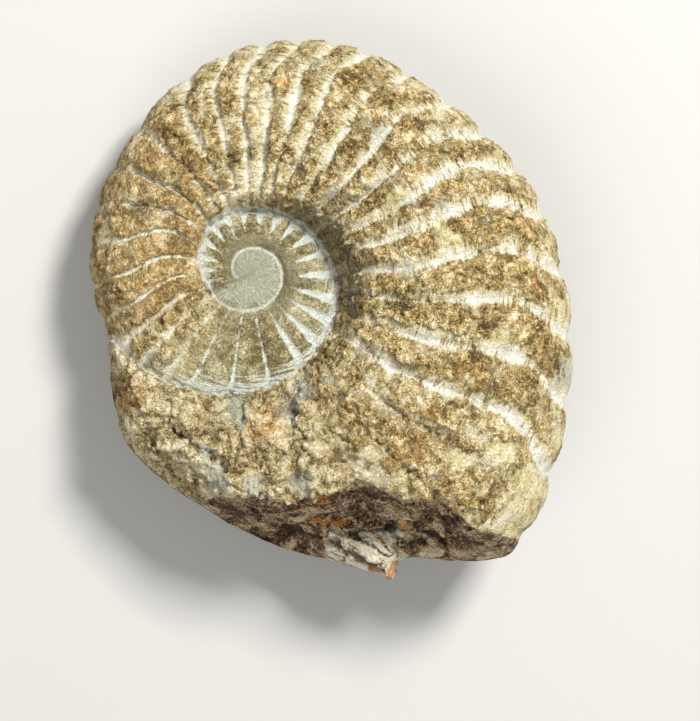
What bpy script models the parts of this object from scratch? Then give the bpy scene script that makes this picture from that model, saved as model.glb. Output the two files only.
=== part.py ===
"""Fossil ammonite, one piece of stone, lying on its back flank.

The shell is a flat coil that widens from the middle outwards. The coil lies in the local XY plane, its
middle at the local origin and its front flank towards local +Z. The last half turn of the outer whorl has
broken off, which leaves rough stone below the coil and a steep broken face along the bottom.
"""

import math

import bmesh
import bpy
import numpy as np
from mathutils import Euler, Vector, noise

MM = 0.001

# How finely the skin is made before it is thinned to the triangles that it needs.
SECTORS = 360
RINGS = 300
TRIANGLES = 8200

# The coil grows clockwise, seen from the front. A turn angle counts the degrees travelled outwards, with 0
# at local +X. The shell is whole up to BREAK_TURN, and bare stone follows up to END_TURN, where it meets
# the coil.
BREAK_TURN = 47.0
END_TURN = 157.0

# Each growth curve is a list of (turn angle in degrees, size in mm).
VENTER_RADIUS = [
    (-640, 12.0), (-540, 15.5), (-450, 20.5), (-360, 25.5), (-300, 29.5), (-250, 34.0), (-203, 39.2),
    (-180, 40.8), (-150, 43.9), (-135, 45.6), (-115, 51.3), (-95, 58.0), (-80, 61.6), (-65, 65.0),
    (-50, 66.3), (-35, 69.6), (-20, 75.2), (0, 81.2), (20, 87.6), (30, 92.0), (40, 97.0), (47, 99.2),
]
BROKEN_RADIUS = [
    (47, 99.2), (51, 95.6), (55, 91.0), (60, 84.8), (62.5, 84.6), (64.5, 87.6), (67, 86.0), (74, 76.6),
    (90, 67.6), (102, 61.4), (117, 56.9), (127, 54.4), (135, 49.6), (146, 43.8), (157, 39.2),
]
SEAM_RADIUS = [
    (-660, 0.0), (-600, 1.5), (-540, 3.6), (-470, 6.2), (-395, 8.0), (-340, 8.8), (-281, 9.0), (-228, 10.0),
    (-190, 10.9), (-163, 12.6), (-127, 15.9), (-87, 17.2), (-52, 18.7), (-20, 20.8), (8, 23.4), (44, 25.9),
    (78, 29.1), (110, 32.4), (135, 35.4), (157, 39.2),
]
HALF_BREADTH = [
    (-660, 11.5), (-540, 11.0), (-450, 11.2), (-360, 12.4), (-270, 14.0), (-203, 15.2), (-150, 16.4),
    (-90, 18.6), (-45, 21.2), (0, 24.4), (47, 26.6), (75, 21.5), (100, 17.8), (130, 15.4), (157, 13.6),
]
# Rib number against turn angle, so that a groove runs wherever the number is whole.
RIB_NUMBER = [
    (-660, -39), (-430, -24.5), (-391, -22), (-343, -19), (-300, -16), (-242, -13), (-198, -10), (-149, -7),
    (-117, -4), (-90, -1), (-65.5, 2), (-42, 4), (-12.8, 7), (33.5, 11), (75, 15), (157, 21),
]
# How far a rib leans back between the umbilicus and the outer flank, in degrees of turn.
RIB_LEAN = [
    (-660, 0), (-300, 1), (-242, 0), (-228, 5), (-213, 6), (-198, 13), (-165, 17), (-149, 11), (-126, 8),
    (-108, 2), (-75, 1), (-42, 4), (31, 5), (157, 5),
]
RIB_VENTER_SWEEP = 5.0
RIB_HEIGHT = [
    (-660, 0.15), (-450, 0.25), (-360, 0.4), (-250, 0.6), (-190, 1.0), (-120, 1.6), (-30, 2.3), (47, 2.6),
]
RIB_CREST_SHARPNESS = 2.6
VENTER_RIB_SHARE = 0.6

# The whorl's section: the width of its umbilical wall in mm, the shoulder that rises more gently beyond the
# wall, and how far the flank droops towards the venter, as a share of the half breadth.
UMBILICAL_WALL = [
    (-660, 1.5), (-203, 2.2), (-120, 2.8), (-75, 3.8), (-40, 6.5), (40, 8.5), (100, 5.0), (157, 2.5),
]
SHOULDER_SHARE = 0.35
SHOULDER_REACH = 0.5
DROOP = [(-660, 0.2), (-203, 0.2), (-120, 0.14), (47, 0.12), (110, 0.34), (140, 0.4), (157, 0.3)]
VENTER_ROUNDNESS = 5.0
BROKEN_ROUNDNESS = 14.0
SEAM_GROOVE_DEPTH = 0.6
SEAM_GROOVE_WIDTH = 1.1

# The broken face: its upper edge as (local x, local y) in mm, how steeply it falls, and the ledge below it.
BREAK_EDGE = [
    (-36, -46.0), (-26, -50.7), (-16.4, -55.6), (-11.2, -58.2), (-2.1, -55.9), (10.4, -58.0), (16.1, -57.5),
    (22.1, -55.6), (27.8, -51.5), (32.5, -53.3), (39, -56.7), (42.9, -57.5), (47.3, -55.4), (52, -59.5),
    (59, -65.3), (65, -66.6), (69.4, -67.6), (76, -74.0),
]
BREAK_SLOPE = 2.3
BREAK_RAGGEDNESS = 2.2
LEDGE_HEIGHT = [(-13, -12), (8, -9), (20, -1), (34, 5), (41, 0), (52, -2), (62, 4), (72, 3)]
LEDGE_ROUGHNESS = 4.0
BROKEN_RIM_DROP = 7.0

# Bumps and hollows of the bare stone as (local x, local y, radius, height), and its two cracks as (start x,
# start y, end x, end y, width, depth), all in mm.
STONE_BUMPS = [
    (4.7, -37.0, 4.5, 1.6), (10.5, -33.5, 4.0, -1.6), (-2.6, -35.0, 4.0, -1.4), (-27.0, -35.0, 5.0, 1.4),
    (17.0, -38.0, 5.5, 1.5), (-13.5, -44.5, 5.0, 1.3), (-7.5, -38.5, 3.5, 0.9), (27.0, -43.0, 5.0, 1.2),
    (6.0, -50.0, 4.5, 1.2), (12.0, -53.0, 3.5, -1.2), (-24.0, -45.5, 3.5, 0.9),
]
STONE_CRACKS = [(-26, -40, -18, -51, 1.1, 1.8), (-22, -37, -6.5, -48.5, 1.2, 2.2)]
STONE_LUMP_SIZE = 11.0
STONE_LUMP_HEIGHT = 1.3
SHELL_LUMP_HEIGHT = 0.45

# The piece lies on its back flank, which tips the coil a little, and on small flats worn on the ribs there.
REST_TILT_X = -3.4
REST_TILT_Y = -6.4
FLAT_DEPTH = 0.9
STONE_COLOUR = (0.50, 0.38, 0.22, 1.0)


def growth(curve, turn, ease=6.0):
    """A growth curve's value at each turn angle, eased round its corners."""
    angles, sizes = zip(*curve)
    return sum(np.interp(turn + step, angles, sizes) for step in (-ease, 0.0, ease)) / 3.0


def smooth_step(value):
    value = np.clip(value, 0.0, 1.0)
    return value * value * (3.0 - 2.0 * value)


def rib_relief(turn, share):
    """Ribs as 1 on a crest and 0 in a groove, where share runs from 0 at the seam to 1 at the venter."""
    lean = growth(RIB_LEAN, turn) * smooth_step((share - 0.15) / 0.6)
    sweep = RIB_VENTER_SWEEP * smooth_step((share - 0.75) / 0.25)
    number = growth(RIB_NUMBER, turn + lean - sweep, ease=2.0)
    across = np.abs(2.0 * (number - np.floor(number)) - 1.0)
    return 1.0 - across**RIB_CREST_SHARPNESS


def outline_radius(turn):
    """Distance from the coil's middle to the edge of the piece."""
    whole = growth(VENTER_RADIUS, turn, ease=3.0)
    broken = growth(BROKEN_RADIUS, turn, ease=1.0)
    ribs = (rib_relief(turn, np.ones_like(turn)) - 0.6) * growth(RIB_HEIGHT, turn) * VENTER_RIB_SHARE
    return np.where(turn < BREAK_TURN, whole + ribs, broken)


def whorl_share(radius, turn, outer_radius):
    """Place across a whorl's flank, 0 at its seam with the whorl inside it and 1 at its outer edge."""
    seam = growth(SEAM_RADIUS, turn)
    return np.clip((radius - seam) / np.maximum(outer_radius - seam, 0.5), 0.0, 1.0)


def whorl_crown(turn, share):
    """Height of a whorl's flank without its ribs and its umbilical wall."""
    return growth(HALF_BREADTH, turn) * (1.0 - growth(DROOP, turn) * share**3)


def whorl_height(radius, turn, outer_radius, whorls_inside):
    """Height of one whorl's flank above the coil's plane, where it rises from the whorl inside it."""
    share = whorl_share(radius, turn, outer_radius)
    seam = growth(SEAM_RADIUS, turn)
    shelled = 1.0 - smooth_step((turn - BREAK_TURN) / 14.0)
    relief = rib_relief(turn, share) * smooth_step((share - 0.03) / 0.2)
    height = whorl_crown(turn, share) + relief * growth(RIB_HEIGHT, turn) * shelled
    if whorls_inside == 0:
        return height
    inner_turn = turn - 360.0
    seam_height = whorl_height(seam, inner_turn, growth(VENTER_RADIUS, inner_turn), whorls_inside - 1)
    wall = smooth_step((radius - seam) / growth(UMBILICAL_WALL, turn)) ** 0.8
    shoulder = smooth_step(share / SHOULDER_REACH)
    rise = wall + (shoulder - wall) * SHOULDER_SHARE
    return seam_height + (height - seam_height) * rise


def flank_height(radius, turn, outline):
    """Height of the flank over the whole coil, whichever whorl lies at that radius."""
    height = whorl_height(radius, turn, outline, 2)
    for whorls_inward in (1, 2):
        inner_turn = turn - 360.0 * whorls_inward
        seam = growth(SEAM_RADIUS, inner_turn + 360.0)
        inner = whorl_height(radius, inner_turn, growth(VENTER_RADIUS, inner_turn), 2 - whorls_inward)
        height = np.where(radius < seam, inner, height)
        height = height - SEAM_GROOVE_DEPTH * np.exp(-(((radius - seam) / SEAM_GROOVE_WIDTH) ** 2))
    return height


def lumps(points, size, seed):
    """Rounded irregularity of weathered stone, about -1 to 1, at points in mm."""
    offset = Vector((seed, 2.0 * seed, -seed))
    return np.array([noise.fractal(Vector(p) / size + offset, 0.7, 2.1, 3) for p in points])


def stone_relief(x, y):
    """Height of the bare stone's bumps, hollows and cracks at each point of the coil's plane."""
    height = np.zeros_like(x)
    for bump_x, bump_y, radius, rise in STONE_BUMPS:
        distance = np.hypot(x - bump_x, y - bump_y)
        height = height + rise * (1.0 - smooth_step(distance / radius))
    for start_x, start_y, end_x, end_y, width, depth in STONE_CRACKS:
        run_x = end_x - start_x
        run_y = end_y - start_y
        along = ((x - start_x) * run_x + (y - start_y) * run_y) / (run_x**2 + run_y**2)
        along = np.clip(along, 0.0, 1.0)
        distance = np.hypot(x - start_x - along * run_x, y - start_y - along * run_y)
        height = height - depth * np.exp(-((distance / width) ** 2))
    return height


def fossil_points(directions):
    """Moves the points of a unit sphere onto the fossil, the upper half to its front, the lower to its back."""
    share = np.clip(np.hypot(directions[:, 0], directions[:, 1]), 0.0, 1.0)
    front = directions[:, 2] >= 0.0
    turn = -np.degrees(np.arctan2(directions[:, 1], directions[:, 0]))
    turn = np.where(turn > END_TURN, turn - 360.0, turn)
    outline = outline_radius(turn)
    radius = share * outline
    x = radius * np.cos(np.radians(turn))
    y = -radius * np.sin(np.radians(turn))

    flank = flank_height(radius, turn, outline)
    bare = smooth_step((turn - BREAK_TURN) / 12.0) * smooth_step((radius - growth(SEAM_RADIUS, turn)) / 4.0)
    level = np.where(front, flank, -flank)
    rough = lumps(np.stack([x, y, level], axis=1), STONE_LUMP_SIZE, 3.0)
    flank = flank + rough * (SHELL_LUMP_HEIGHT + (STONE_LUMP_HEIGHT - SHELL_LUMP_HEIGHT) * bare)
    flank = flank + np.where(front, stone_relief(x, y), 0.0)

    below = np.maximum(np.interp(x, *zip(*BREAK_EDGE)) - y + BREAK_RAGGEDNESS * rough, 0.0)
    ledge = np.interp(x, *zip(*LEDGE_HEIGHT)) + LEDGE_ROUGHNESS * rough
    fallen = np.maximum(flank - BREAK_SLOPE * below, np.minimum(flank, ledge))
    flank = np.where(front, fallen, flank)

    broken = smooth_step((turn - BREAK_TURN) / 6.0) * smooth_step((END_TURN - turn) / 40.0)
    roundness = VENTER_ROUNDNESS + (BROKEN_ROUNDNESS - VENTER_ROUNDNESS) * broken
    closing = np.sqrt(np.maximum(1.0 - share**roundness, 0.0))
    rim = -BROKEN_RIM_DROP * broken
    z = np.where(front, rim + (flank - rim) * closing, rim - (flank + rim) * closing)
    return np.stack([x, y, z], axis=1) * MM


def make_stone():
    material = bpy.data.materials.new("fossil_stone")
    material.use_nodes = True
    shader = material.node_tree.nodes["Principled BSDF"]
    shader.inputs["Base Color"].default_value = STONE_COLOUR
    shader.inputs["Roughness"].default_value = 0.85
    shader.inputs["Metallic"].default_value = 0.0
    return material


def make_ammonite(collection):
    """The fossil: a sphere drawn out onto the coil, turned into the pose that it rests in."""
    sphere = bmesh.new()
    bmesh.ops.create_uvsphere(sphere, u_segments=SECTORS, v_segments=RINGS, radius=1.0)
    directions = np.array([vert.co for vert in sphere.verts])
    placed = fossil_points(directions)
    tilt = Euler((math.radians(REST_TILT_X), math.radians(REST_TILT_Y), 0.0)).to_matrix()
    placed = placed @ np.array(tilt).T
    middle = (placed.min(axis=0) + placed.max(axis=0)) / 2.0
    lift = placed[:, 2].min() + FLAT_DEPTH * MM
    for vert, point in zip(sphere.verts, placed - np.array([middle[0], middle[1], lift])):
        vert.co = point
    mesh = bpy.data.meshes.new("ammonite")
    sphere.to_mesh(mesh)
    sphere.free()
    ammonite = bpy.data.objects.new("ammonite", mesh)
    ammonite.data.materials.append(make_stone())
    collection.objects.link(ammonite)
    mesh.shade_smooth()
    thin = ammonite.modifiers.new("thin", "DECIMATE")
    thin.ratio = TRIANGLES / (2.0 * SECTORS * (RINGS - 1))
    return ammonite


def make_rest_plane(collection):
    """A block whose top is the surface that the fossil rests on, and which cuts its small flats."""
    block = bmesh.new()
    bmesh.ops.create_cube(block, size=1.0)
    for vert in block.verts:
        vert.co = (vert.co.x * 0.4, vert.co.y * 0.4, (vert.co.z - 0.5) * 0.05)
    mesh = bpy.data.meshes.new("rest_plane")
    block.to_mesh(mesh)
    block.free()
    cutter = bpy.data.objects.new("rest_plane", mesh)
    cutter.hide_render = True
    cutter.display_type = "WIRE"
    collection.objects.link(cutter)
    return cutter


def main():
    for old in list(bpy.data.objects):
        bpy.data.objects.remove(old)
    fossil = bpy.data.collections.new("fossil_ammonite")
    cutters = bpy.data.collections.new("cutters")
    bpy.context.scene.collection.children.link(fossil)
    bpy.context.scene.collection.children.link(cutters)
    ammonite = make_ammonite(fossil)
    flats = ammonite.modifiers.new("flats", "BOOLEAN")
    flats.operation = "DIFFERENCE"
    flats.solver = "EXACT"
    flats.object = make_rest_plane(cutters)


main()
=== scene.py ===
import itertools
import math

import bpy
import numpy as np
from mathutils import Euler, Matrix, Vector, noise


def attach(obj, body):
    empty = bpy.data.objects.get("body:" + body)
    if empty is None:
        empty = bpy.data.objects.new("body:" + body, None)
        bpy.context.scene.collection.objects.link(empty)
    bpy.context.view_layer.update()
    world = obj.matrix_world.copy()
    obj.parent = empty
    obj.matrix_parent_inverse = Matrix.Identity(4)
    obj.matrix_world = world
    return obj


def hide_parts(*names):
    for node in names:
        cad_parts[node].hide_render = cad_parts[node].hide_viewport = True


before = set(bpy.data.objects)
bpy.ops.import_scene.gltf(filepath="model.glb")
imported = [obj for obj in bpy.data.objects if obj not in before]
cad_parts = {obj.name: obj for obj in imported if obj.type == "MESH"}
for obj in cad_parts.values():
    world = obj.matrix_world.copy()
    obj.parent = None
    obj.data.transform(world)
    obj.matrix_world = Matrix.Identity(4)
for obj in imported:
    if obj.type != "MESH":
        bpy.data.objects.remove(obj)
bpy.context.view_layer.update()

# The fossil, first its form. It is a flat-coiled shell that stone has filled and replaced, worn on its ribs
# and broken across its last whorl, with some of the rock that it lay in. A round ball is drawn out onto the
# coil, along curves of (turn angle in degrees, size in mm); a turn angle grows outwards and clockwise.
VENTER_RADIUS = [
    (-640, 12.0), (-540, 15.5), (-450, 20.5), (-360, 25.5), (-300, 29.5), (-250, 34.0), (-203, 39.2),
    (-180, 40.8), (-150, 43.9), (-135, 45.6), (-115, 51.3), (-95, 58.0), (-80, 61.6), (-65, 65.0),
    (-50, 66.3), (-35, 69.6), (-20, 75.2), (0, 81.2), (20, 87.6), (30, 92.0), (40, 97.0), (47, 99.2),
]
BROKEN_RADIUS = [
    (47, 99.2), (51, 95.6), (55, 91.0), (60, 84.6), (62.8, 84.2), (64.9, 88.6), (67, 84.4), (74, 77.2),
    (90, 67.6), (102, 61.4), (117, 56.9), (127, 54.4), (135, 49.6), (146, 43.8), (157, 39.2),
]
SEAM_RADIUS = [
    (-660, 0.0), (-600, 1.5), (-540, 3.6), (-470, 6.2), (-395, 8.0), (-340, 8.8), (-281, 9.0), (-228, 10.0),
    (-190, 10.9), (-163, 12.6), (-127, 15.9), (-87, 17.2), (-52, 18.7), (-20, 20.8), (8, 23.4), (44, 25.9),
    (78, 29.1), (110, 32.4), (135, 35.4), (157, 39.2),
]
HALF_BREADTH = [
    (-660, 11.5), (-540, 11.0), (-450, 11.2), (-360, 12.4), (-270, 14.0), (-203, 15.2), (-150, 16.4),
    (-90, 18.6), (-45, 21.2), (0, 24.4), (47, 26.6), (75, 21.5), (100, 17.8), (130, 15.4), (157, 13.6),
]
RIB_NUMBER = [
    (-660, -39), (-430, -24.5), (-391, -22), (-343, -19), (-300, -16), (-242, -13), (-198, -10), (-149, -7),
    (-117, -4), (-90, -1), (-65.5, 2), (-42, 4), (-12.8, 7), (33.5, 11), (75, 15), (157, 21),
]
RIB_LEAN = [
    (-660, 0), (-300, 1), (-242, 0), (-228, 5), (-213, 6), (-198, 13), (-165, 17), (-149, 11), (-126, 8),
    (-108, 2), (-75, 1), (-42, 4), (31, 5), (157, 5),
]
RIB_HEIGHT = [
    (-660, 0.15), (-450, 0.25), (-360, 0.4), (-250, 0.6), (-190, 1.0), (-120, 1.6), (-30, 2.3), (47, 2.6),
]
UMBILICAL_WALL = [
    (-660, 1.5), (-203, 2.2), (-120, 2.8), (-75, 3.8), (-40, 6.5), (40, 8.5), (100, 5.0), (157, 2.5),
]
DROOP = [(-660, 0.2), (-203, 0.2), (-120, 0.14), (47, 0.12), (110, 0.34), (140, 0.4), (157, 0.3)]
BREAK_EDGE = [
    (-36, -46.0), (-26, -50.7), (-16.4, -55.6), (-11.2, -58.2), (-2.1, -55.9), (10.4, -58.0), (16.1, -57.5),
    (22.1, -55.6), (27.8, -51.5), (32.5, -53.3), (39, -56.7), (42.9, -57.5), (47.3, -55.4), (52, -59.5),
    (59, -65.3), (65, -66.6), (69.4, -67.6), (76, -74.0),
]
LEDGE_EDGE = [
    (18, -71), (20.8, -66), (26, -64.7), (30, -66), (37.7, -64.7), (41.6, -63.6), (46, -67.5), (52, -69.5),
    (60, -70.5), (66, -70.0), (72, -72.0),
]
LEDGE_HEIGHT = [(-13, -12), (8, -9), (20, -1), (34, 5), (41, 0), (52, -2), (62, 4), (72, 3)]
STONE_BUMPS = [
    (4.7, -37.0, 4.5, 1.6), (10.5, -33.5, 4.0, -1.6), (-2.6, -35.0, 4.0, -1.4), (-27.0, -35.0, 5.0, 1.4),
    (17.0, -38.0, 5.5, 1.5), (-13.5, -44.5, 5.0, 1.3), (-7.5, -38.5, 3.5, 0.9), (27.0, -43.0, 5.0, 1.2),
    (6.0, -50.0, 4.5, 1.2), (12.0, -53.0, 3.5, -1.2), (-24.0, -45.5, 3.5, 0.9),
]
STONE_CRACKS = [(-26, -40, -18, -51, 1.1, 1.8), (-22, -37, -6.5, -48.5, 1.2, 2.2)]
BREAK_TURN = 47.0
END_TURN = 157.0
RIM_LEVEL = -7.0
FACE_STEEPNESS = 2.3
FACE_FOOT = -18.0
WORN_FLAT = 0.9
REST_TILT = Euler((math.radians(-3.4), math.radians(-6.4), 0.0))


def growth(curve, turn, ease=6.0):
    """A growth curve's value at each turn angle, eased round its corners."""
    angles, sizes = zip(*curve)
    return sum(np.interp(turn + step, angles, sizes) for step in (-ease, 0.0, ease)) / 3.0


def smooth_step(value):
    value = np.clip(value, 0.0, 1.0)
    return value * value * (3.0 - 2.0 * value)


def rib_place(turn, share):
    """Rib number at a place on a whorl: whole in a groove, half way between on a crest.

    The ribs sweep forward at their outer ends, except on the left flank, where they run straight on.
    """
    lean = growth(RIB_LEAN, turn) * smooth_step((share - 0.15) / 0.6)
    left_flank = smooth_step((-95.0 - turn) / 45.0) * smooth_step((turn + 260.0) / 45.0)
    sweep = (5.0 - 9.0 * left_flank) * smooth_step((share - 0.75) / 0.25)
    return growth(RIB_NUMBER, turn + lean - sweep, ease=2.0)


def rib_relief(turn, share):
    number = rib_place(turn, share)
    return 1.0 - np.abs(2.0 * (number - np.floor(number)) - 1.0) ** 2.6


def outline_radius(turn):
    whole = growth(VENTER_RADIUS, turn, ease=3.0)
    broken = growth(BROKEN_RADIUS, turn, ease=0.6)
    ribs = (rib_relief(turn, np.ones_like(turn)) - 0.6) * growth(RIB_HEIGHT, turn) * 0.6
    return np.where(turn < BREAK_TURN, whole + ribs, broken)


def whorl_share(radius, turn, outer_radius):
    """Place across a whorl's flank, 0 at its seam with the whorl inside it and 1 at its outer edge."""
    seam = growth(SEAM_RADIUS, turn)
    return np.clip((radius - seam) / np.maximum(outer_radius - seam, 0.5), 0.0, 1.0)


def whorl_height(radius, turn, outer_radius, whorls_inside):
    """Height of one whorl's flank above the coil's plane, where it rises from the whorl inside it."""
    share = whorl_share(radius, turn, outer_radius)
    seam = growth(SEAM_RADIUS, turn)
    shelled = 1.0 - smooth_step((turn - BREAK_TURN) / 14.0)
    relief = rib_relief(turn, share) * smooth_step((share - 0.03) / 0.2)
    crown = growth(HALF_BREADTH, turn) * (1.0 - growth(DROOP, turn) * share**3)
    height = crown + relief * growth(RIB_HEIGHT, turn) * shelled
    if whorls_inside == 0:
        return height
    inner_turn = turn - 360.0
    seam_height = whorl_height(seam, inner_turn, growth(VENTER_RADIUS, inner_turn), whorls_inside - 1)
    wall = smooth_step((radius - seam) / growth(UMBILICAL_WALL, turn)) ** 0.8
    shoulder = smooth_step(share / 0.5)
    return seam_height + (height - seam_height) * (wall + (shoulder - wall) * 0.35)


def flank_height(radius, turn, outline):
    """Height of the flank over the whole coil, whichever whorl lies at that radius."""
    height = whorl_height(radius, turn, outline, 2)
    for whorls_inward in (1, 2):
        inner_turn = turn - 360.0 * whorls_inward
        seam = growth(SEAM_RADIUS, inner_turn + 360.0)
        inner = whorl_height(radius, inner_turn, growth(VENTER_RADIUS, inner_turn), 2 - whorls_inward)
        height = np.where(radius < seam, inner, height)
        height = height - 0.6 * np.exp(-(((radius - seam) / 1.1) ** 2))
    return height


def coil_turn(x, y):
    turn = -np.degrees(np.arctan2(y, x))
    return np.where(turn > END_TURN, turn - 360.0, turn)


def along_crack(x, y, start_x, start_y, end_x, end_y):
    """Distance of each point from a straight crack."""
    run_x = end_x - start_x
    run_y = end_y - start_y
    along = np.clip(((x - start_x) * run_x + (y - start_y) * run_y) / (run_x**2 + run_y**2), 0.0, 1.0)
    return np.hypot(x - start_x - along * run_x, y - start_y - along * run_y)


def draw_out(directions):
    """Moves a ball's points onto the coil: its upper half to the front flank, its lower to the back."""
    share = np.clip(np.hypot(directions[:, 0], directions[:, 1]), 0.0, 1.0)
    front = directions[:, 2] >= 0.0
    turn = coil_turn(directions[:, 0], directions[:, 1])
    outline = outline_radius(turn)
    radius = share * outline
    x = radius * np.cos(np.radians(turn))
    y = -radius * np.sin(np.radians(turn))
    flank = flank_height(radius, turn, outline)
    bare = smooth_step((turn - BREAK_TURN) / 12.0) * smooth_step((radius - growth(SEAM_RADIUS, turn)) / 4.0)
    level = np.where(front, flank, -flank)
    shift = Vector((3.0, 6.0, -3.0))
    spots = np.stack([x, y, level], axis=1)
    rough = np.array([noise.fractal(Vector(spot) / 11.0 + shift, 0.7, 2.1, 3) for spot in spots])
    flank = flank + rough * (0.45 + 0.85 * bare)
    bumps = np.zeros_like(x)
    for bump_x, bump_y, reach, rise in STONE_BUMPS:
        bumps = bumps + rise * (1.0 - smooth_step(np.hypot(x - bump_x, y - bump_y) / reach))
    for start_x, start_y, end_x, end_y, width, depth in STONE_CRACKS:
        bumps = bumps - depth * np.exp(-((along_crack(x, y, start_x, start_y, end_x, end_y) / width) ** 2))
    flank = flank + np.where(front, bumps, 0.0)
    below = np.maximum(np.interp(x, *zip(*BREAK_EDGE)) - y + 2.2 * rough, 0.0)
    ledge = np.interp(x, *zip(*LEDGE_HEIGHT)) + 4.0 * rough
    fallen = np.maximum(flank - FACE_STEEPNESS * below, np.minimum(flank, ledge))
    flank = np.where(front, fallen, flank)
    broken = smooth_step((turn - BREAK_TURN) / 6.0) * smooth_step((END_TURN - turn) / 40.0)
    on_ledge = smooth_step((x - 16.0) / 5.0) * smooth_step((52.0 - x) / 6.0)
    sharp = on_ledge * smooth_step(below / 6.0) * front
    closing = np.sqrt(np.maximum(1.0 - share ** (5.0 + 9.0 * broken + 36.0 * sharp), 0.0))
    rim = RIM_LEVEL * broken
    z = np.where(front, rim + (flank - rim) * closing, rim - (flank + rim) * closing)
    return np.stack([x, y, z], axis=1)


bpy.ops.object.select_all(action="DESELECT")
bpy.ops.mesh.primitive_uv_sphere_add(segments=66, ring_count=48, radius=1.0)
fossil = bpy.context.object
fossil.name = "fossil_ammonite"
fossil.data.name = "fossil_ammonite"
finer = fossil.modifiers.new("finer", "SUBSURF")
finer.subdivision_type = "SIMPLE"
finer.levels = 3
bpy.ops.object.modifier_apply(modifier=finer.name)
ball = np.empty(len(fossil.data.vertices) * 3)
fossil.data.vertices.foreach_get("co", ball)
ball = ball.reshape(-1, 3)
ball = ball / np.linalg.norm(ball, axis=1)[:, None]
turned = draw_out(ball) @ np.array(REST_TILT.to_matrix()).T
lowest = turned.min(axis=0)
highest = turned.max(axis=0)
footprint = (lowest + highest) / 2.0
coil_middle = np.array([footprint[0], footprint[1], lowest[2] + WORN_FLAT])
fossil.data.vertices.foreach_set("co", ((turned - coil_middle) / 1000.0).ravel())
fossil.data.update()
FINE_VOXEL = 0.0005
fossil.data.remesh_voxel_size = FINE_VOXEL
bpy.ops.object.voxel_remesh()


# The fossil's skin. The ground left a brown iron crust on the ribs, with pits and ragged edges, over chalky
# shell that shows in the grooves. The rock below it is granular, and the break is splintered. Each point is
# raised or lowered along its own normal by noises of real sizes, in mm.
LATTICE = np.random.default_rng(11).normal(size=(4096, 3))
LATTICE = LATTICE / np.linalg.norm(LATTICE, axis=1)[:, None]


def grain(points, size, seed):
    """Smooth noise of about -1 to 1, with lumps of the given size in mm (one, or one for each axis).

    Three large primes scatter the cells over the lattice of slopes.
    """
    place = points / np.array(size) + seed * 19.7
    cell = np.floor(place).astype(np.int64)
    part = place - cell
    ease = part**3 * (part * (part * 6.0 - 15.0) + 10.0)
    total = np.zeros(len(points))
    for corner in itertools.product((0, 1), repeat=3):
        near = cell + np.array(corner)
        pick = (near[:, 0] * 73856093 ^ near[:, 1] * 19349663 ^ near[:, 2] * 83492791) & 4095
        slope = np.einsum("ij,ij->i", LATTICE[pick], part - np.array(corner))
        total = total + slope * np.prod(np.where(np.array(corner) == 1, ease, 1.0 - ease), axis=1)
    return total * 1.7


def patch(x, y, spots):
    """1 inside listed soft round patches of (x, y, reach in mm), 0 outside them."""
    inside = np.zeros_like(x)
    for spot_x, spot_y, reach in spots:
        distance = np.hypot(x - spot_x, y - spot_y) / reach
        inside = np.maximum(inside, 1.0 - smooth_step((distance - 0.35) / 0.65))
    return inside


# Half widths of the chalky grooves, patches (x, y, reach), streaks of rust (from x, y to x, y, width) and
# crevices (from x, y to x, y, width, depth). All are in mm, with places from the coil's middle.
CHALK_WIDTH = [
    (-660, 0.1), (-450, 0.35), (-360, 0.42), (-250, 0.42), (-190, 0.45), (-120, 0.4), (-90, 0.45),
    (-60, 0.8), (0, 1.2), (47, 1.2),
]
OCHRE = [
    (-13, 25, 7), (-10, 20, 6), (-1, 37, 5), (-15, 11, 7), (-22, 5, 8), (-25, -6, 8), (-24, 30, 6),
    (70, 20, 5), (72, 13, 5), (75, -2, 5), (39, -45, 7), (47, -37, 6), (4.7, -37.0, 7), (-31, -30, 7),
    (55, -27, 6),
]
CLAY = [
    (44, 16, 4), (49, 18, 5), (61, 13, 4), (82, -26, 6), (40, -1, 4), (32, 36, 5), (18, 51, 4),
    (-29, 33, 5), (-3, -34, 5), (10, -34, 5), (14, -29, 5), (22, -27, 4), (14, -53, 4), (-8, -52, 5),
    (-12, -46, 4), (2, -53, 4),
]
# Dark patches, several near the umbilical wall at the right, take brown stain with painted shade.
DARK = [
    (22, 18, 5), (24, 11, 6), (27, 3, 6), (26, -6, 5), (6.5, 47, 2.5), (13, 26, 2.5), (-27, 18, 3.5),
    (-23, -21, 3.5), (-32, 5, 2), (30, -20, 4), (37, 22, 3), (-7.5, -2.6, 2.4),
]
PALE = [
    (51, 7, 6), (42, -2, 5), (64, -19, 8), (11, 42, 5), (12, 33, 5), (21, 30, 6), (80, -8, 6), (34, -28, 6),
    (62, -45, 9), (26, -47, 6), (70, -55, 9), (-36, 12, 4), (48, 40, 5), (82, -26, 6),
]
RUST = [
    (17.8, -57.8, 24.3, -55.2, 0.9), (16.4, -63.4, 25.2, -64.2, 1.0), (35.9, -78.6, 37.9, -74.6, 1.1),
    (31.2, -76.4, 33.0, -77.2, 0.7), (38.5, -64.0, 41.6, -66.0, 0.8), (8.0, 48.5, 10.0, 47.5, 0.9),
]
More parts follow.
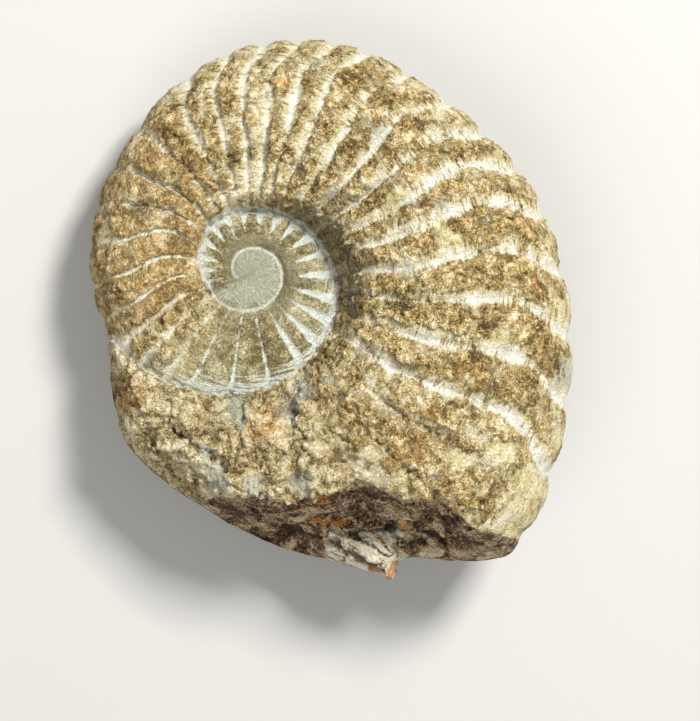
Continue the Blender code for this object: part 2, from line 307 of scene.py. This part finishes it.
CREVICES = [
    (13.0, -57.8, 25.2, -55.5, 0.7, 1.2), (10.4, -66.0, 17.4, -68.6, 1.2, 1.6),
    (26.0, -66.8, 39.0, -65.3, 0.7, 1.3), (39.0, -65.3, 60.0, -70.0, 0.7, 1.0),
    (21.5, -69.2, 34.8, -77.0, 1.4, 1.2), (27.5, -67.8, 36.0, -72.6, 0.6, 0.8),
    (21.0, -72.0, 27.0, -76.0, 0.5, 0.6), (-21.3, -27.8, -19.0, -32.2, 0.5, 0.7),
    (-19.0, -32.2, -20.3, -40.0, 0.5, 0.7), (12.2, -32.2, 10.9, -38.2, 0.5, 0.9),
    (10.9, -38.2, 16.4, -42.6, 0.5, 0.6), (-1.0, -32.0, -1.3, -38.0, 0.5, 0.8),
    (21.6, -40.0, 25.2, -42.6, 0.5, 0.8), (-10.0, -58.5, -2.0, -62.0, 0.8, 1.0),
    (-26.0, -40.0, -18.0, -51.0, 0.5, 0.4), (-22.0, -37.0, -6.5, -48.5, 0.5, 0.4),
    (44.0, -60.0, 55.0, -66.0, 0.6, 1.0),
]

# Where each point is: its place in the coil, in mm and degrees, and its distance from the nearest groove.
skin = np.empty(len(fossil.data.vertices) * 3)
fossil.data.vertices.foreach_get("co", skin)
skin = skin.reshape(-1, 3)
outward = np.empty(len(fossil.data.vertices) * 3)
fossil.data.vertex_normals.foreach_get("vector", outward)
outward = outward.reshape(-1, 3)
place = (skin * 1000.0 + coil_middle) @ np.array(REST_TILT.to_matrix())
x, y, z = place.T
radius = np.hypot(x, y)
turn = coil_turn(x, y)
outline = outline_radius(turn)
seams = [growth(SEAM_RADIUS, turn - 360.0 * inward) for inward in (0, 1, 2)]
own_turn = np.where(radius >= seams[0], turn, np.where(radius >= seams[1], turn - 360.0, turn - 720.0))
seam_inside = np.where(radius >= seams[0], seams[0], np.where(radius >= seams[1], seams[1], seams[2]))
seam_outside = np.where(radius >= seams[0], outline, np.where(radius >= seams[1], seams[0], seams[1]))
own_radius = np.where(radius >= seams[0], outline, growth(VENTER_RADIUS, own_turn))
share = whorl_share(radius, own_turn, own_radius)
shown = np.clip((radius - seam_inside) / np.maximum(seam_outside - seam_inside, 0.5), 0.0, 1.0)
number = rib_place(own_turn, share)
pitch = np.maximum(growth(RIB_NUMBER, own_turn + 3.0) - growth(RIB_NUMBER, own_turn - 3.0), 0.05) / 6.0
groove = (1.0 - np.abs(2.0 * (number - np.floor(number)) - 1.0)) / 2.0 * radius * np.radians(1.0 / pitch)

# What each point is on. Grooves hold chalky shell, in lens-shaped gaps on the inner whorls.
inner = (radius < seams[0]).astype(float)
worn = smooth_step((-205.0 - own_turn) / 55.0)
core = 1.0 - smooth_step((radius - seams[1]) / 0.8)
uneven = np.maximum(1.0 + 0.9 * grain(place, 9.0, 33) + 0.5 * grain(place, 3.5, 34), 0.25)
narrow = np.interp(own_turn, (-430.0, -340.0), (0.36, 0.0)) + 0.12 * grain(place, 3.0, 49)
wedges = 3.9 * ((shown - narrow) / (1.0 - narrow)).clip(0.0) ** 0.9 - 0.5
lenses = np.where(own_turn < -285.0, wedges, 0.4 + 2.6 * shown**5) * (0.65 + 0.35 * uneven)
faint = smooth_step((number - 11.4) / 0.4)
wide = (0.45 + 0.7 * smooth_step(share / 0.7)) * uneven * (1.0 - 0.85 * faint)
wide = wide * (0.2 + 0.8 * smooth_step((share - 0.03) / 0.12))
chalk = growth(CHALK_WIDTH, own_turn) * np.where(inner > 0.5, lenses, wide) - groove - 1.6 * faint
chalk = chalk + 0.3 * inner * grain(place, 1.6, 50)
one_sided = np.sin(2.0 * math.pi * number) * (1.0 - inner) * smooth_step((turn + 110.0) / 40.0)
reach = chalk - 0.8 * one_sided
smoothed = smooth_step((-100.0 - turn) / 40.0) * (1.0 - inner)
below = np.maximum(np.interp(x, *zip(*BREAK_EDGE)) - y, 0.0)
bare = smooth_step((turn - BREAK_TURN - 6.0) / 16.0) * smooth_step((radius - seams[0]) / 1.5)
rim = smooth_step((radius / outline - 0.97) / 0.03) * smooth_step((turn - BREAK_TURN) / 6.0)
torn = 1.3 * grain(place, 2.5, 31) + 0.6 * grain(place, 1.0, 32)
broken_from = smooth_step((turn - (BREAK_TURN - 5.0)) / 3.0)
face = np.maximum(smooth_step((below - 0.1 + 0.3 * torn) / 0.6) * broken_from, rim)
face = face * smooth_step((END_TURN - turn) / 12.0) * (z > FACE_FOOT)
ledge = smooth_step((np.interp(x, *zip(*LEDGE_EDGE)) - y + torn) / 1.2)
ledge = ledge * smooth_step((x - 19.0) / 2.0) * smooth_step((outward[:, 2] + 0.25 + 0.35 * torn) / 0.5)
scraps = smooth_step((grain(place, 4.0, 48) + 0.5 * torn + 0.15) / 0.4)
golden = smooth_step((x - 39.0 + torn) / 3.0)
ledge = ledge * (1.0 - golden * (1.0 - scraps))
# The umbilical wall at the right gets rough relief and a darker brown colour that is partly stain and
# partly painted shade.
past_wall = radius - seams[0] - growth(UMBILICAL_WALL, turn) * 0.6 + 1.6 * grain(place, 4.0, 35)
wall = (1.0 - smooth_step(past_wall / 3.0)) * (1.0 - inner)
wall = wall * smooth_step((turn + 85.0) / 40.0) * (1.0 - smooth_step((turn - 5.0) / 35.0))
ring = inner * (1.0 - smooth_step((shown - 0.22) / 0.14)) * smooth_step((-own_turn - 285.0) / 40.0)
shell = (1.0 - worn) * (1.0 - bare) * (1.0 - face)
warp_x = x + 2.6 * grain(place, 6.5, 41) + 1.6 * grain(place, 2.4, 42) + 0.7 * grain(place, 1.0, 43)
warp_y = y + 2.6 * grain(place, 6.5, 44) + 1.6 * grain(place, 2.4, 45) + 0.7 * grain(place, 1.0, 46)
seam_width = 1.0 + 1.8 * smooth_step((-75.0 - turn) / 40.0)
seam_gap = np.minimum(np.abs(radius - seams[0]) / seam_width, np.abs(radius - seams[1]))
front = smooth_step((outward[:, 2] + 0.2) / 0.4)
pale = patch(warp_x, warp_y, PALE) * front
rust = np.zeros_like(x)
for start_x, start_y, end_x, end_y, width in RUST:
    near = along_crack(x + 0.5 * torn, y + 0.3 * torn, start_x, start_y, end_x, end_y) / width
    rust = np.maximum(rust, (1.0 - smooth_step(near - 0.3)) * front)
# Painted shade in the crevices: a dark colour along each one, over the dent that the depth cuts into the
# relief.
crevice_shade = np.zeros_like(x)
depth = np.zeros_like(x)
for start_x, start_y, end_x, end_y, width, deep in CREVICES:
    near = along_crack(x + 0.7 * torn, y + 0.5 * torn, start_x, start_y, end_x, end_y) / width
    crevice_shade = np.maximum(crevice_shade, np.exp(-(near**2)) * front)
    depth = np.maximum(depth, deep * np.exp(-(near**2)) * front)

# Brown crust covers the chalky shell where this is above 0. It frays along the coil at the grooves.
frayed = grain(np.stack([radius, turn * 0.9, z], axis=1), (0.8, 4.0, 4.0), 4)
crust = 0.35 * grain(place, 12.0, 36) + 0.75 * grain(place, 5.0, 1) + 0.55 * grain(place, 2.0, 2)
crust = crust + 0.36 * grain(place, 1.0, 3) + (0.3 + 0.5 * smooth_step((reach + 3.0) / 2.5)) * frayed
spread = 1.7 - 1.0 * smoothed
crust = crust + 0.5 + 0.3 * smoothed - 0.6 * pale - 0.15 * faint
covering = 1.0 - 0.55 * smoothed * smooth_step((share - 0.66) / 0.16)
crust = crust - (1.1 + 0.5 * smoothed) * covering * smooth_step((reach + spread) / (spread + 0.4))
opened = smooth_step((chalk + 0.2) / 0.5) * smooth_step(0.5 + 0.7 * smoothed + 1.3 * grain(place, 8.0, 47))
crust = crust - 0.75 * opened * covering
crust = crust - 0.5 * smooth_step((share - 0.86) / 0.12) * (turn > -130.0)
crust = crust - 0.2 * smooth_step((turn - 18.0) / 25.0)
crust = crust - 0.25 * smooth_step((turn + 125.0) / 20.0) * smooth_step((-65.0 - turn) / 20.0)
crust = crust * (1.0 - worn) - 0.1 * worn

# The relief itself. Lumps meet in creases, and each kind of stone has its own. The ledge's slabs slant down
# to the right.
crusted = smooth_step((crust + 0.12) / 0.4) * shell
knobs = 1.1 * np.abs(grain(place, 3.2, 5)) + 0.8 * np.abs(grain(place, 1.5, 6))
lumps = 1.0 * np.abs(grain(place, 3.6, 11)) + 0.7 * np.abs(grain(place, 1.7, 12))
calm = (1.0 - 0.65 * smooth_step((share - 0.8) / 0.15)) * (1.0 - 0.4 * smoothed)
pits = smooth_step((grain(place, 1.9, 7) - 0.4) / 0.2)
rise = crusted * calm * (0.3 + 0.75 * knobs + 0.3 * grain(place, 0.9, 22) - 0.8 * pits)
rise = rise + shell * (0.45 * grain(place, 6.0, 8) + 0.16 * grain(place, 0.9, 9))
granular = bare * (1.0 - face)
rise = rise + granular * (1.2 * grain(place, 7.0, 10) + 1.25 * lumps - 0.55 + 0.45 * grain(place, 1.0, 37))
rise = rise - granular * 0.9 * smooth_step((grain(place, 3.1, 13) - 0.4) / 0.2)
splinters = 1.0 * grain(place, (8.0, 8.0, 1.8), 14) + 0.6 * grain(place, (3.0, 3.0, 0.9), 15)
chips = np.round(2.5 * grain(place, (5.0, 4.0, 2.5), 38)) / 2.5
facets = 2.4 * np.abs(grain(place, (9.0, 8.0, 7.0), 39)) + 0.7 * np.abs(grain(place, (3.5, 3.0, 2.5), 40))
steady = 1.0 - 0.8 * smooth_step((radius / outline - 0.86) / 0.1)
rise = rise + face * (1.0 - ledge) * steady * (0.7 * splinters + 0.5 * chips + 0.7 - facets)
slanted = np.stack([0.8 * x - 0.6 * y, 0.6 * x + 0.8 * y, z], axis=1)
slabs = np.round(1.8 * grain(slanted, (14.0, 4.0, 8.0), 16)) / 1.8 + 0.3 * grain(place, 2.0, 23)
trim = 1.0 - 0.85 * smooth_step((radius / outline - 0.955) / 0.03)
rise = rise + face * ledge * trim * (1.5 * slabs + 0.4 * grain(place, 1.1, 17))
rise = rise + worn * (0.22 * grain(place, 3.0, 18) + 0.14 * grain(place, 0.9, 19))
rise = rise - worn * (1.0 - core) * 0.3 * smooth_step((chalk + 0.3) / 0.6)
rise = rise + wall * (0.5 * grain(place, 2.6, 20) + 0.3 * grain(place, 1.0, 21)) - depth
moved = skin + outward * rise[:, None] / 1000.0
moved[:, 2] = np.maximum(moved[:, 2], 0.0)
resting = (moved[:, 2] < WORN_FLAT / 1000.0) & (outward[:, 2] < -0.5)
moved[:, 2] = np.where(resting, 0.0, moved[:, 2])
fossil.data.vertices.foreach_set("co", moved.ravel())

# What the finish is coloured by, written onto the mesh as attributes.
attributes = {
    "crust": crust,
    "chalk": chalk,
    "reach": reach,
    "smoothed": smoothed,
    "golden": golden,
    "worn": worn,
    "core": core,
    "shown": shown,
    "bare_rock": bare,
    "broken_face": face,
    "ledge": ledge,
    "wall": wall,
    "ring": ring,
    "seam_gap": seam_gap,
    # This lump value is painted shade: it is low in the creases between lumps and knobs, and the crust's
    # and rock's tones darken there.
    "lump_shading": np.clip(np.where(bare > 0.5, lumps, np.where(worn > 0.5, 0.45, knobs)), 0.0, 1.0),
    "ochre": patch(warp_x, warp_y, OCHRE) * front,
    "clay": patch(warp_x, warp_y, CLAY) * front,
    "dark": patch(warp_x, warp_y, DARK) * front,
    "rust": rust,
    "crevice_shade": crevice_shade * (0.8 + 0.2 * face),
}
for name, values in attributes.items():
    layer = fossil.data.attributes.new(name, "FLOAT", "POINT")
    layer.data.foreach_set("value", values.astype(np.float32))
along_coil = np.stack([np.radians(turn) * 45.0, radius, z], axis=1)
layer = fossil.data.attributes.new("coil_place", "FLOAT_VECTOR", "POINT")
layer.data.foreach_set("vector", along_coil.astype(np.float32).ravel())
fossil.data.update()

# The hidden back keeps fewer faces than the front, which is seen.
hidden = fossil.vertex_groups.new(name="hidden_back")
hidden.add([int(i) for i in np.nonzero(outward[:, 2] < -0.15)[0]], 1.0, "REPLACE")
hidden.add([int(i) for i in np.nonzero(outward[:, 2] >= -0.15)[0]], 0.12, "REPLACE")
thin = fossil.modifiers.new("thin", "DECIMATE")
thin.vertex_group = hidden.name
MOST_TRIANGLES = 194000.0
thin.ratio = min(1.0, MOST_TRIANGLES / (2.0 * len(fossil.data.polygons)))
bpy.ops.object.modifier_apply(modifier=thin.name)
fossil.vertex_groups.clear()
bpy.ops.object.shade_smooth()
settled = np.empty(len(fossil.data.vertices) * 3)
fossil.data.vertices.foreach_get("co", settled)
settled = settled.reshape(-1, 3)
settled[:, 2] = np.maximum(settled[:, 2], 0.0)
fossil.data.vertices.foreach_set("co", settled.ravel())
fossil.data.update()


# The fossil's finish: limestone, iron-stained and dusty from being cleaned. It is matte all over, a little
# less in some specks than in others, so the light mostly rests on its lumps and edges.
def colour(code):
    """An sRGB hex colour as linear red, green, blue and alpha."""
    parts = [int(code[i : i + 2], 16) / 255.0 for i in (1, 3, 5)]
    return [c / 12.92 if c <= 0.04045 else ((c + 0.055) / 1.055) ** 2.4 for c in parts] + [1.0]


def add(tree, kind, links=None, **settings):
    """Adds a node with its settings, and gives each input a value or a link."""
    node = tree.nodes.new(kind)
    for name, value in settings.items():
        setattr(node, name, value)
    for key, value in (links or {}).items():
        if isinstance(value, bpy.types.NodeSocket):
            tree.links.new(value, node.inputs[key])
        else:
            node.inputs[key].default_value = value
    return node


limestone = bpy.data.materials.new("iron_stained_limestone")
limestone.use_nodes = True
tree = limestone.node_tree
shader = tree.nodes["Principled BSDF"]
at = {name: add(tree, "ShaderNodeAttribute", attribute_name=name).outputs["Fac"] for name in attributes}
coil_at = add(tree, "ShaderNodeAttribute", attribute_name="coil_place").outputs["Vector"]
here = add(tree, "ShaderNodeTexCoord").outputs["Object"]

# Noises: the real size of their lumps in mm, their detail, roughness and twist.
noises = {}
for name, size, detail, rough, twist in (
    ("broad", 14.0, 3.0, 0.5, 0.0),
    ("mottle", 8.0, 7.0, 0.74, 0.5),
    ("speck", 1.6, 4.0, 0.7, 1.4),
    ("dust", 0.55, 2.0, 0.6, 0.8),
    ("veins", 3.2, 4.0, 0.6, 1.2),
):
    settings = {"Vector": here, "Scale": 1000.0 / size, "Detail": detail}
    settings.update({"Roughness": rough, "Distortion": twist})
    noises[name] = add(tree, "ShaderNodeTexNoise", settings).outputs["Fac"]

# Stretched noises. Striae cross the ribs, rays and layers follow the worn core and its seam (sizes in mm
# along and across the coil), strata lie in the broken face and splits slant across its ledge (in metres).
for name, source, rotation, size in (
    ("striae", coil_at, (0.0, 0.0, 0.0), (3.2, 0.6, 2.0)),
    ("rays", coil_at, (0.0, 0.0, 0.0), (0.55, 6.0, 10.0)),
    ("layers", coil_at, (0.0, 0.0, 0.0), (16.0, 0.7, 10.0)),
    ("strata", here, (0.25, 0.1, 0.0), (0.005, 0.004, 0.0017)),
    ("splits", here, (0.0, 0.0, -0.64), (0.013, 0.0030, 0.0040)),
):
    settings = {"Vector": source, "Rotation": rotation, "Scale": size}
    stretched = add(tree, "ShaderNodeMapping", settings, vector_type="TEXTURE").outputs["Vector"]
    settings = {"Vector": stretched, "Scale": 1.0, "Detail": 5.0, "Roughness": 0.72}
    noises[name] = add(tree, "ShaderNodeTexNoise", settings).outputs["Fac"]

# Curls are the thin, winding light ridges all over the crust, about 0.4 mm wide. The fringe is the comb
# that the striae make of the crust's edge at each groove.
curls = add(tree, "ShaderNodeMath", {0: noises["veins"], 1: 0.5}, operation="SUBTRACT").outputs[0]
curls = add(tree, "ShaderNodeMath", {0: curls}, operation="ABSOLUTE").outputs[0]
settings = {"Value": curls, "From Min": 0.004, "From Max": 0.03, "To Min": 1.0, "To Max": 0.0}
curls = add(tree, "ShaderNodeMapRange", settings).outputs["Result"]
settings = {"Value": at["reach"], "From Min": -2.8, "From Max": -0.2}
fringe = add(tree, "ShaderNodeMapRange", settings).outputs["Result"]
comb = add(tree, "ShaderNodeMath", {0: noises["striae"], 1: 0.5}, operation="SUBTRACT").outputs[0]
fringe = add(tree, "ShaderNodeMath", {0: fringe, 1: comb}, operation="MULTIPLY").outputs[0]

# Weighted sums of them: how light each kind of stone is, and how far the crust's edge wanders.
sums = {}
for name, total, terms in (
    # The tone and rock sums take painted shade from the lump value, darker in the creases between lumps.
    ("tone", -0.22, (("mottle", 0.65), ("speck", 0.32), ("dust", 0.28), (curls, 0.09), (at["lump_shading"], 0.13))),
    ("chalk", -0.14, (("striae", 0.32), ("mottle", 0.50), ("speck", 0.15), ("dust", 0.30), (curls, 0.03))),
    ("face", -0.42, (("strata", 0.50), ("mottle", 0.60), ("speck", 0.38), ("dust", 0.36))),
    ("rock", -0.26, (("mottle", 0.60), ("speck", 0.36), ("dust", 0.40), (at["lump_shading"], 0.17))),
    ("ledge", -0.34, (("splits", 1.25), ("mottle", 0.28), ("dust", 0.23))),
    ("edge", -2.9, ((at["crust"], 1.0), ("mottle", 1.8), ("speck", 2.0), ("dust", 2.0), (fringe, 9.0))),
    ("ochre", 0.0, ((at["ochre"], 1.0), ("broad", 1.0))),
    ("clay", 0.0, ((at["clay"], 1.0), ("broad", 1.0))),
    ("crevice_shade", -0.5, ((at["crevice_shade"], 1.0), ("speck", 1.0))),
    ("wedge", 0.0, ((at["chalk"], 1.0), ("striae", 1.2))),
    ("band", 0.0, ((at["shown"], 1.0), ("layers", 0.9))),
    ("seam", 0.45, ((at["seam_gap"], 1.0), ("mottle", -0.9))),
    ("rust", -2.0, ((at["rust"], 1.0), ("speck", 2.5), ("dust", 1.5))),
    ("scratched", 0.0, (("striae", 0.6), ("dust", 0.4))),
    ("relief", 0.0, (("mottle", 2.0), ("speck", 1.4), ("dust", 1.2), ("striae", 0.6), (curls, 0.15))),
):
    for source, weight in terms:
        source = noises.get(source, source) if isinstance(source, str) else source
        settings = {0: source, 1: weight, 2: total}
        total = add(tree, "ShaderNodeMath", settings, operation="MULTIPLY_ADD").outputs[0]
    sums[name] = total
settings = {0: at["chalk"], 1: 0.6}
whiteness = add(tree, "ShaderNodeMath", settings, operation="MULTIPLY").outputs[0]
whiteness = add(tree, "ShaderNodeMath", {0: whiteness, 1: sums["edge"]}, operation="SUBTRACT").outputs[0]

# Colours of each kind of stone from its darkest to its lightest.
colours = {}
for name, source, stops in (
    ("crust", sums["tone"], (
        (0.39, "#46361B"), (0.44, "#7F6634"), (0.49, "#AC9156"), (0.55, "#D2BA80"), (0.61, "#F5EAC6"),
    )),
    ("tan", sums["tone"], ((0.39, "#7A5E31"), (0.46, "#A28450"), (0.53, "#C2A66E"), (0.61, "#E6D5A8"))),
    ("ochre", sums["tone"], ((0.38, "#67491F"), (0.45, "#A57F42"), (0.53, "#C9A264"), (0.62, "#EDDCB0"))),
    ("chalk", sums["chalk"], ((0.39, "#A08C58"), (0.45, "#CBB981"), (0.51, "#E4D6A9"), (0.58, "#F3EBCD"))),
    ("white", sums["chalk"], ((0.39, "#C9C5A9"), (0.47, "#EDEBDB"), (0.56, "#F7F7F0"))),
    ("worn", sums["tone"], ((0.38, "#675A35"), (0.45, "#918457"), (0.51, "#B2A679"), (0.60, "#DBD4AF"))),
    ("core", noises["rays"], ((0.40, "#8E8C6E"), (0.50, "#B4B394"), (0.61, "#DFDFCA"))),
    ("band", noises["layers"], ((0.42, "#A09B7A"), (0.48, "#D5D6C0"), (0.56, "#EEF2E6"))),
    ("rock", sums["rock"], ((0.37, "#5E4A2A"), (0.43, "#9A8456"), (0.50, "#C8B480"), (0.60, "#F0E4C0"))),
    ("face", sums["face"], ((0.40, "#23150C"), (0.46, "#5C412A"), (0.52, "#947250"), (0.60, "#DCC59D"))),
    ("ledge", sums["ledge"], ((0.39, "#4E3A20"), (0.425, "#AE9158"), (0.46, "#E6D29C"), (0.53, "#FFF6DA"))),
    ("rust", sums["tone"], ((0.40, "#8E5420"), (0.48, "#DA8A34"), (0.57, "#F2BC74"))),
    ("stain_and_shade", sums["scratched"], ((0.44, "#4C3C22"), (0.52, "#7C6B48"), (0.58, "#B9AC86"))),
):
    ramp = add(tree, "ShaderNodeValToRGB", {"Fac": source})
    for index, (position, code) in enumerate(stops):
        stop = ramp.color_ramp.elements[index] if index < 2 else ramp.color_ramp.elements.new(position)
        stop.position = position
        stop.color = colour(code)
    colours[name] = ramp.outputs["Color"]

# Where each of them lies, from 0 to its greatest share.
shares = {}
for name, source, start, end, most in (
    ("covered", sums["edge"], -0.16, 0.10, 1.0),
    ("whiteness", whiteness, 0.7, 1.8, 0.88),
    # Painted shade: a dark brown line along the crust's edge, on the crust's side, where a thick crust
    # would shadow the chalk.
    ("shaded_brink", sums["edge"], 0.45, 0.02, 0.5),
    ("crevice_shade", sums["crevice_shade"], 0.35, 0.9, 0.92),
    ("ochre", sums["ochre"], 0.5, 1.5, 0.85),
    ("clay", sums["clay"], 0.6, 1.4, 0.7),
    ("wedge", sums["wedge"], 0.40, 0.75, 1.0),
    ("band", sums["band"], 1.27, 1.40, 0.9),
    ("seam", sums["seam"], 0.5, 0.12, 0.85),
    ("ring", at["ring"], 0.0, 1.0, 0.7),
    ("smoothed", at["smoothed"], 0.0, 1.0, 0.65),
    ("golden", at["golden"], 0.0, 1.0, 0.55),
    ("wall", at["wall"], 0.1, 0.9, 0.65),
    ("dark", at["dark"], 0.2, 0.9, 0.65),
    ("rust", sums["rust"], 0.35, 0.85, 0.9),
):
    settings = {"Value": source, "From Min": start, "From Max": end, "To Max": most}
    shares[name] = add(tree, "ShaderNodeMapRange", settings).outputs["Result"]

# The kinds of stone are laid over each other: shell, crust, worn inner whorls, bare rock, broken face.
for name, under, over in (
    ("whiteness", "chalk", "white"),
    ("clay", "chalk", colour("#B5B8A8")),
    ("ochre", "crust", "ochre"),
    ("smoothed", "crust", "tan"),
    # Painted shade along the crust's edge.
    ("shaded_brink", "crust", colour("#5E4A28")),
    ("covered", "chalk", "crust"),
    ("wedge", "worn", colour("#E6EADB")),
    ("band", "worn", "band"),
    ("ring", "worn", colour("#8D8361")),
    (at["core"], "worn", "core"),
    (at["worn"], "chalk", "worn"),
    ("seam", "chalk", colour("#E9EBDC")),
    # Brown stain with painted shade on the umbilical wall at the right and in the dark patches.
    ("wall", "chalk", "stain_and_shade"),
    ("dark", "chalk", "stain_and_shade"),
    ("clay", "rock", colour("#B9BCAB")),
    ("ochre", "rock", "ochre"),
    (at["bare_rock"], "chalk", "rock"),
    ("golden", "ledge", "ochre"),
    (at["ledge"], "face", "ledge"),
    (at["broken_face"], "chalk", "face"),
    # Painted shade in the crevices.
    ("crevice_shade", "chalk", colour("#4A3822")),
    ("rust", "chalk", "rust"),
):
    factor = shares[name] if isinstance(name, str) else name
    over = colours[over] if isinstance(over, str) else over
    settings = {0: factor, 6: colours[under], 7: over}
    colours[under] = add(tree, "ShaderNodeMix", settings, data_type="RGBA").outputs[2]
tree.links.new(colours["chalk"], shader.inputs["Base Color"])

# Roughness, and the relief too fine for the mesh, about 0.2 to 0.7 mm high.
settings = {"Value": noises["speck"], "From Min": 0.3, "From Max": 0.7, "To Min": 0.72, "To Max": 0.95}
tree.links.new(add(tree, "ShaderNodeMapRange", settings).outputs["Result"], shader.inputs["Roughness"])
settings = {0: shares["covered"], 1: 0.3, 2: sums["relief"]}
relief = add(tree, "ShaderNodeMath", settings, operation="MULTIPLY_ADD").outputs[0]
bump = add(tree, "ShaderNodeBump", {"Height": relief, "Strength": 1.0, "Distance": 0.0012})
tree.links.new(bump.outputs["Normal"], shader.inputs["Normal"])
shader.inputs["IOR"].default_value = 1.5
shader.inputs["Specular IOR Level"].default_value = 0.35
fossil.data.materials.clear()
fossil.data.materials.append(limestone)
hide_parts("ammonite")
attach(fossil, "root")


# The floor: one wide, plain, pale sheet of matte paper. It isn't part of the fossil.
bpy.ops.object.select_all(action="DESELECT")
bpy.ops.mesh.primitive_plane_add(size=6.0, location=(0.0, 0.0, 0.0))
floor = bpy.context.object
floor.name = "floor"
paper = bpy.data.materials.new("matte_paper")
paper.use_nodes = True
paper.node_tree.nodes["Principled BSDF"].inputs["Base Color"].default_value = colour("#A3A19C")
paper.node_tree.nodes["Principled BSDF"].inputs["Roughness"].default_value = 0.9
floor.data.materials.append(paper)

# The light: a soft lamp above the fossil's far right, a weaker and wider one above its near left, and a
# pale room. Energies are in watts and sizes in metres.
for name, energy, size, spot in (
    ("key", 34.0, 0.3, (0.46, 0.66, 0.98)),
    ("fill", 17.0, 1.2, (-0.6, -0.85, 1.2)),
):
    lamp = bpy.data.objects.new(name, bpy.data.lights.new(name, "AREA"))
    lamp.data.energy = energy
    lamp.data.size = size
    lamp.location = spot
    lamp.rotation_euler = (-Vector(spot)).to_track_quat("-Z", "Y").to_euler()
    bpy.context.scene.collection.objects.link(lamp)
room = bpy.data.worlds.new("room")
room.use_nodes = True
room.node_tree.nodes["Background"].inputs["Color"].default_value = colour("#EDEFF2")
room.node_tree.nodes["Background"].inputs["Strength"].default_value = 0.5
bpy.context.scene.world = room
bpy.context.scene.view_settings.view_transform = "Standard"

# The camera looks straight along the coil's axis. The photograph has 700 by 721 pixels, each of 0.26 mm at
# the coil's plane, and the coil's middle is 100 pixels left of its centre and 84.5 above it.
PIXEL = 0.26
PHOTO_HEIGHT = 721.0
SENSOR = 36.0
DISTANCE = 0.7
turn_to_rest = REST_TILT.to_matrix()
aim = turn_to_rest @ Vector((100.0 * PIXEL, -84.5 * PIXEL, 0.0)) - Vector(coil_middle)
away = turn_to_rest @ Vector((0.0, 0.0, 1.0))
camera = bpy.data.objects.new("camera", bpy.data.cameras.new("camera"))
camera.location = aim / 1000.0 + away * DISTANCE
camera.rotation_euler = turn_to_rest.to_euler()
camera.data.sensor_width = SENSOR
camera.data.lens = SENSOR * DISTANCE * 1000.0 / (PHOTO_HEIGHT * PIXEL)
bpy.context.scene.collection.objects.link(camera)
bpy.context.scene.camera = camera
